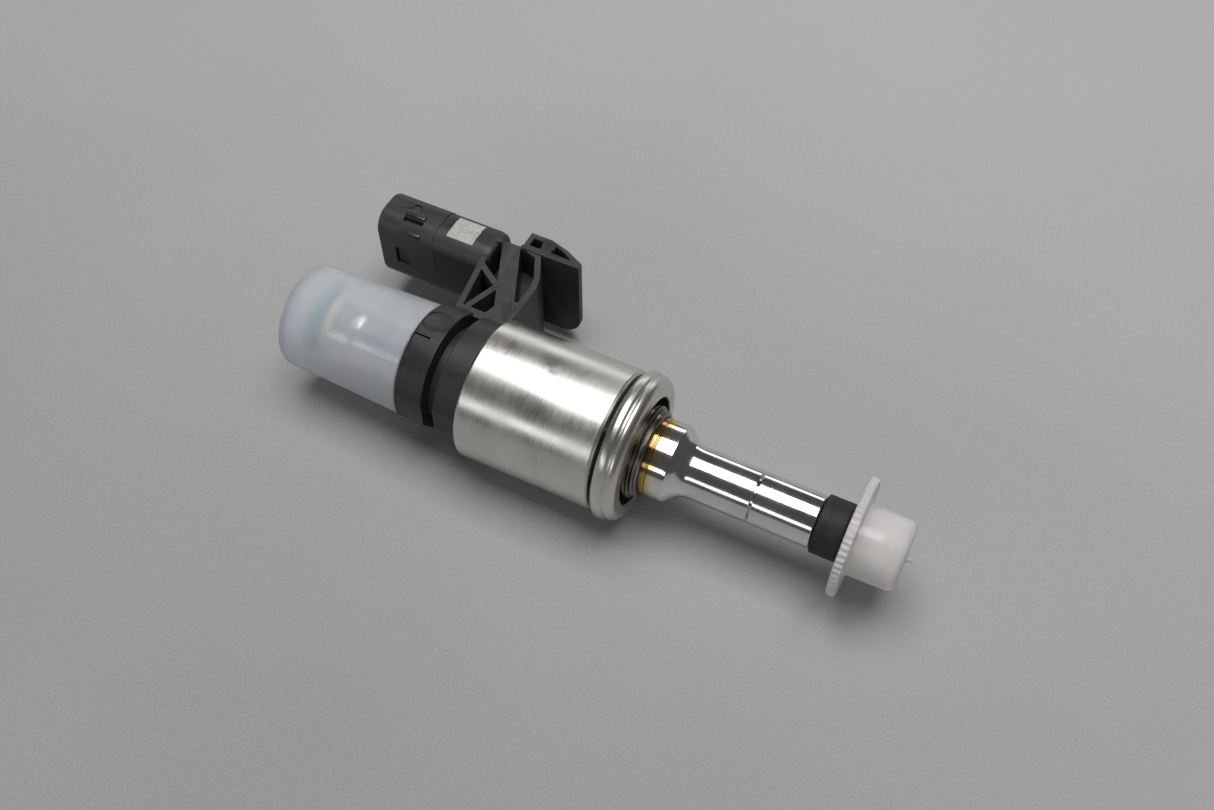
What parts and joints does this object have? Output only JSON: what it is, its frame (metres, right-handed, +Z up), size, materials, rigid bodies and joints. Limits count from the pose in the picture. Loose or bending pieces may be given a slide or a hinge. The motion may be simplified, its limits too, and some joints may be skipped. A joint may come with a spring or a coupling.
{
  "type": "fuel injector",
  "caption": "Direct-injection fuel injector lying on its side: steel solenoid body, slim nozzle stem, side connector on a ribbed arm, translucent caps on both ends.",
  "frame": {"origin": "centre of the bounding box's bottom face; the injector lies on its side on z = 0", "axes": "+X along the injector's axis towards the nozzle, +Y towards the electrical connector, +Z up"},
  "size_m": [0.0944, 0.0352, 0.0219],
  "materials": {
    "brushed_steel": "brushed around the axis",
    "polished_steel": "ground and polished",
    "tinted_steel": "straw and gold heat tint",
    "dark_steel": "machined",
    "black_plastic": "fine moulded grain",
    "milky_plastic": "translucent, satin",
    "teal_rubber": "satin",
    "cream_plastic": "satin",
    "black_seal": "matt filled PTFE",
    "bobbin_plastic": "moulded",
    "copper": "enamelled wire",
    "filter_mesh": "fine mesh",
    "spring_steel": "drawn wire",
    "tinned_brass": "tinned"
  },
  "bodies": {
    "injector": {"inlet_tube": "polished_steel", "inlet_o_ring": "teal_rubber", "backup_ring": "cream_plastic", "fuel_filter": "filter_mesh", "adjusting_sleeve": "dark_steel", "closing_spring": "spring_steel", "pole_core": "dark_steel", "valve_sleeve": "dark_steel", "coil_bobbin": "bobbin_plastic", "coil_winding": "copper", "magnet_cover": "dark_steel", "magnet_housing": "brushed_steel", "connector_overmould": "black_plastic", "terminal_blade_1": "tinned_brass", "terminal_blade_2": "tinned_brass", "mounting_flange": "brushed_steel", "weld_ring_outer": "tinted_steel", "weld_ring_middle": "tinted_steel", "weld_ring_inner": "tinted_steel", "valve_body": "polished_steel", "nozzle_body": "polished_steel", "needle_guide": "dark_steel", "valve_seat": "polished_steel", "combustion_seal": "black_seal"},
    "needle_group": {"valve_needle": "polished_steel", "valve_ball": "polished_steel", "armature": "dark_steel", "needle_collar": "dark_steel", "armature_stop": "dark_steel"},
    "inlet_transport_cap": {"inlet_cap": "milky_plastic"},
    "nozzle_transport_cap": {"nozzle_cap": "milky_plastic"}
  },
  "joints": [
    {"name": "needle_lift", "type": "slide", "parent": "injector", "child": "needle_group", "axis": [-1, 0, 0], "range_m": [0, 0.00008], "stiffness_N_per_m": 1200, "springref_m": -0.015, "deforming": ["closing_spring"]},
    {"name": "inlet_cap_pull", "type": "slide", "parent": "injector", "child": "inlet_transport_cap", "axis": [-1, 0, 0], "range_m": [0, 0.025]},
    {"name": "nozzle_cap_pull", "type": "slide", "parent": "injector", "child": "nozzle_transport_cap", "axis": [1, 0, 0], "range_m": [0, 0.012]}
  ]
}
